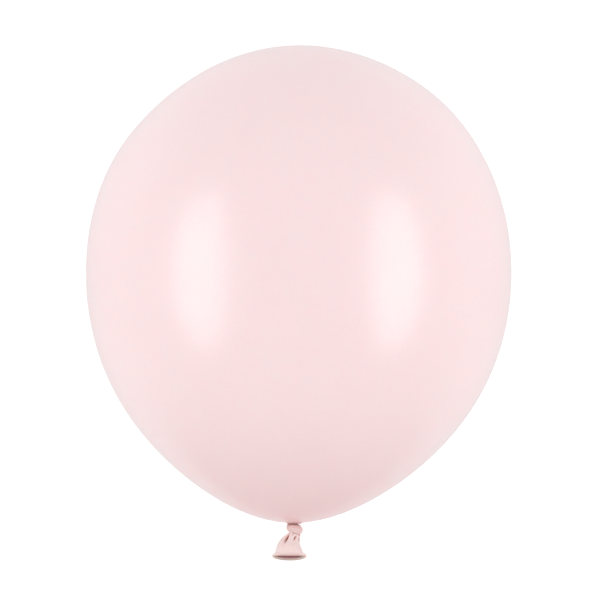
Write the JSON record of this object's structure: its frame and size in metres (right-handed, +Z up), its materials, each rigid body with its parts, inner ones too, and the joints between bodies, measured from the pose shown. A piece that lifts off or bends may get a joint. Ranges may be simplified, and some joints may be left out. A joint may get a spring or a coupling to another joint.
{
  "type": "latex balloon",
  "caption": "Round latex party balloon, blown up and tied, with a gathered throat, an overhand knot and a loose neck that ends in a rolled lip.",
  "frame": {"origin": "on the neck's axis where the inflated bubble ends and the gathered throat begins, the place where a ribbon is tied or fingers hold it", "axes": "+Z up the balloon's axis to the crown, -Y towards the front, where the tail's mouth leans, +X to the right seen from the front"},
  "size_m": [0.3002, 0.3002, 0.3635],
  "materials": {
    "bubble_latex": "pale pink latex stretched thin, soft satin gloss, slightly see-through",
    "neck_latex": "pale pink latex, hardly stretched, soft satin",
    "lip_latex": "rolled pink latex, matt"
  },
  "bodies": {
    "bubble": {"bubble_skin": "bubble_latex"},
    "throat": {"gathered_throat": "neck_latex"},
    "knot": {"knot_core": "neck_latex", "knot_turn": "neck_latex", "crossing_strand": "neck_latex"},
    "tail": {"tail_sleeve": "neck_latex", "rolled_lip": "lip_latex"}
  },
  "joints": [
    {"name": "throat_twist", "type": "hinge", "parent": "bubble", "child": "throat", "pos_m": [0, 0, 0], "axis": [0, 0, 1], "range_deg": [-90, 90], "stiffness_Nm_per_rad": 0.0002},
    {"name": "knot_tilt", "type": "hinge", "parent": "throat", "child": "knot", "pos_m": [0, 0, -0.0007], "axis": [0, 1, 0], "range_deg": [-12, 12], "stiffness_Nm_per_rad": 0.001},
    {"name": "tail_flap", "type": "hinge", "parent": "knot", "child": "tail", "pos_m": [0, 0, -0.01103], "axis": [1, 0, 0], "range_deg": [-45, 95], "stiffness_Nm_per_rad": 0.0002}
  ]
}
